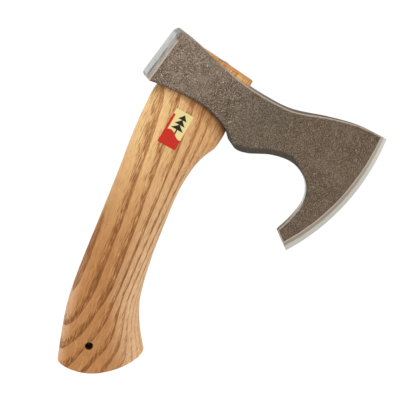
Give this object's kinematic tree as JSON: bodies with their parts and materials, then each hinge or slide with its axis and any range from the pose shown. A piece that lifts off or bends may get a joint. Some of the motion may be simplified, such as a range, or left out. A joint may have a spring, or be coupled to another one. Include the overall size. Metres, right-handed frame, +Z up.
{
  "type": "hatchet",
  "caption": "Bearded carving hatchet: a forged steel head with a long curved edge on a short curved ash handle, wedged in its eye.",
  "frame": {"origin": "middle of the grip, in the hatchet's plane of symmetry", "axes": "+X from the poll to the cutting edge, +Z up the handle towards the head, Y across the thickness"},
  "size_m": [0.1708, 0.03, 0.2413],
  "materials": {
    "forged_steel": "forge-scaled brown grey with a ground edge and poll",
    "ash_wood": "oiled ash with strong brown growth rings",
    "wedge_wood": "end grain, cut flush",
    "wedge_steel": "dark steel",
    "label_paper": null
  },
  "bodies": {
    "root": {"axe_head": "forged_steel", "handle": "ash_wood", "wooden_wedge": "wedge_wood", "steel_wedge": "wedge_steel", "label": "label_paper"}
  },
  "joints": []
}
